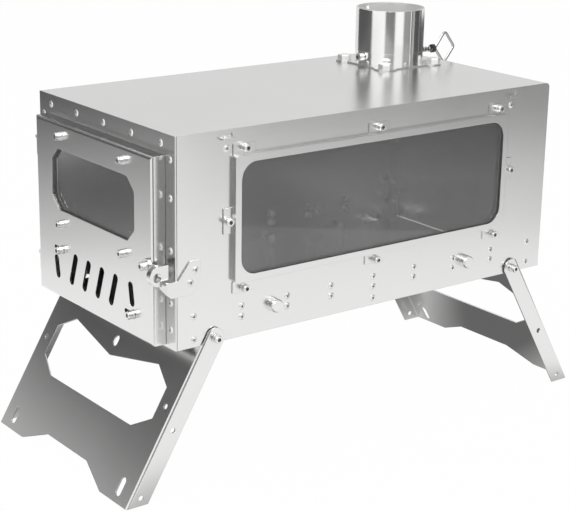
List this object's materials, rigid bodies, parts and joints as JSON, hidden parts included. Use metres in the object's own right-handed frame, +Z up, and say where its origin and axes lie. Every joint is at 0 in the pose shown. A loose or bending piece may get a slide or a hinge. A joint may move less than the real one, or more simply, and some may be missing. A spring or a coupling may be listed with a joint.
{
  "type": "folding tent wood stove",
  "caption": "Folding tent wood stove: steel firebox with a side window, glazed latching door with air slide, eared flue collar with damper, and two folding legs.",
  "frame": {"origin": "centre of the standing stove's footprint box, on the ground", "axes": "-Y is the door end, +X is the window side, +Z is up"},
  "size_m": [0.2154, 0.4732, 0.3295],
  "materials": {
    "satin_steel": "satin",
    "polished_steel": "bright rolled",
    "bright_steel": "bright",
    "dull_steel": "mill",
    "smoked_glass": "smooth, smoky",
    "gasket": "woven fibre tape",
    "dark_washer": "matt"
  },
  "bodies": {
    "stove": {"top_plate": "satin_steel", "side_panel_window": "satin_steel", "side_panel_plain": "satin_steel", "front_frame": "satin_steel", "rear_panel": "satin_steel", "floor_plate": "satin_steel", "front_screws": "bright_steel", "rear_screws": "bright_steel", "window_side_screws": "bright_steel", "plain_side_screws": "bright_steel", "floor_screws": "bright_steel", "side_bolts": "bright_steel", "side_bolt_washers": "bright_steel", "window_frame": "satin_steel", "window_gasket": "gasket", "window_glass": "smoked_glass", "window_cap_screws": "bright_steel", "catch_bracket": "bright_steel", "catch_screws": "bright_steel", "frame_hinge_leaves": "satin_steel", "hinge_pins": "bright_steel", "leg_pivot_screws": "bright_steel", "leg_washers": "bright_steel", "flue_collar": "polished_steel", "collar_flange_plate": "satin_steel", "flange_bolts": "bright_steel", "collar_rivets": "bright_steel", "baffle_plate": "dull_steel", "baffle_spacers": "bright_steel"},
    "door": {"door_panel": "satin_steel", "door_hinge_lugs": "satin_steel", "door_glass": "smoked_glass", "glass_retainer": "satin_steel", "glass_cap_screws": "bright_steel", "latch_pivot_screw": "bright_steel"},
    "air_slide": {"air_slide": "satin_steel", "air_slide_screws": "bright_steel"},
    "latch": {"latch_block": "bright_steel"},
    "front_leg": {"front_leg": "satin_steel"},
    "rear_leg": {"rear_leg": "satin_steel"},
    "damper": {"damper_blade": "dull_steel", "damper_shaft": "bright_steel", "damper_end_nut": "bright_steel", "damper_spring": "bright_steel", "damper_stop_washer": "dark_washer", "damper_handle": "bright_steel"}
  },
  "joints": [
    {"name": "door_swing", "type": "hinge", "parent": "stove", "child": "door", "pos_m": [-0.0918, -0.1961, 0.19], "axis": [0, 0, -1], "range_deg": [0, 120]},
    {"name": "air_slide_travel", "type": "slide", "parent": "door", "child": "air_slide", "axis": [1, 0, 0], "range_m": [-0.01, 0]},
    {"name": "latch_lift", "type": "hinge", "parent": "door", "child": "latch", "pos_m": [0.082, -0.2036, 0.181], "axis": [0, -1, 0], "range_deg": [0, 40]},
    {"name": "front_leg_fold", "type": "hinge", "parent": "stove", "child": "front_leg", "pos_m": [0, -0.1562, 0.1203], "axis": [1, 0, 0], "range_deg": [0, 120]},
    {"name": "rear_leg_fold", "type": "hinge", "parent": "stove", "child": "rear_leg", "pos_m": [0, 0.1562, 0.1203], "axis": [-1, 0, 0], "range_deg": [0, 120]},
    {"name": "damper_turn", "type": "hinge", "parent": "stove", "child": "damper", "pos_m": [-0.0484, 0.1368, 0.2875], "axis": [0, 1, 0], "range_deg": [0, 90]}
  ]
}
